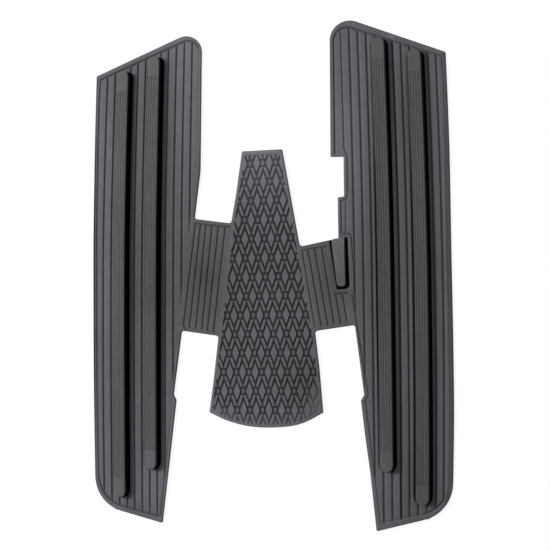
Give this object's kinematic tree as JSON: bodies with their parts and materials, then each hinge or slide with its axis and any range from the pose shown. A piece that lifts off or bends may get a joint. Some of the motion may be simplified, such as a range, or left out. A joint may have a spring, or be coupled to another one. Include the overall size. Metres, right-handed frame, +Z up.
{
  "type": "scooter footboard mat",
  "caption": "H-shaped ribbed rubber footboard mat for a step-through scooter, with raised fluted runners, a diamond-tread tunnel cover, folding webs and a pedal flap.",
  "frame": {"origin": "centre of the mat's outline, on the surface that it lies on", "axes": "+X to the rider's right, +Y to the front of the scooter along the runners, +Z up"},
  "size_m": [0.4, 0.5396, 0.0107],
  "materials": {
    "mat_rubber": "matte moulded rubber, ribbed",
    "tread_rubber": "matte moulded rubber, diamond tread",
    "runner_rubber": "matte moulded rubber, finely fluted",
    "cap_rubber": "smooth satin rubber",
    "flap_rubber": "smooth matte rubber"
  },
  "bodies": {
    "left_side": {"left_mat": "mat_rubber", "left_outer_runner": "runner_rubber", "left_outer_runner_front_cap": "cap_rubber", "left_outer_runner_rear_cap": "cap_rubber", "left_inner_runner": "runner_rubber", "left_inner_runner_front_cap": "cap_rubber", "left_inner_runner_rear_cap": "cap_rubber"},
    "left_web": {"left_web": "mat_rubber"},
    "tunnel": {"tunnel_tread": "tread_rubber"},
    "right_web": {"right_web": "mat_rubber"},
    "right_side": {"right_mat": "mat_rubber", "right_outer_runner": "runner_rubber", "right_outer_runner_front_cap": "cap_rubber", "right_outer_runner_rear_cap": "cap_rubber", "right_inner_runner": "runner_rubber", "right_inner_runner_front_cap": "cap_rubber", "right_inner_runner_rear_cap": "cap_rubber"},
    "flap": {"pedal_flap": "flap_rubber"}
  },
  "joints": [
    {"name": "left_mat_fold", "type": "hinge", "parent": "left_side", "child": "left_web", "pos_m": [-0.0758, 0, 0.0032], "axis": [-0.1231, -0.9924, 0], "range_deg": [0, 60]},
    {"name": "left_tread_fold", "type": "hinge", "parent": "left_web", "child": "tunnel", "pos_m": [-0.0494, 0, 0], "axis": [0.1231, 0.9924, 0], "range_deg": [0, 60]},
    {"name": "right_tread_fold", "type": "hinge", "parent": "tunnel", "child": "right_web", "pos_m": [0.0479, 0, 0], "axis": [-0.158, 0.9874, 0], "range_deg": [0, 60]},
    {"name": "right_mat_fold", "type": "hinge", "parent": "right_web", "child": "right_side", "pos_m": [0.07443, 0, 0.0032], "axis": [0.158, -0.9874, 0], "range_deg": [0, 60]},
    {"name": "flap_hinge", "type": "hinge", "parent": "right_side", "child": "flap", "pos_m": [0.082, 0.034, 0.0032], "axis": [-1, 0, 0], "range_deg": [0, 50]}
  ],
  "couplings": [
    {"joint": "left_tread_fold", "follows": "left_mat_fold", "ratio": 1},
    {"joint": "right_tread_fold", "follows": "left_mat_fold", "ratio": 1},
    {"joint": "right_mat_fold", "follows": "left_mat_fold", "ratio": 1}
  ]
}
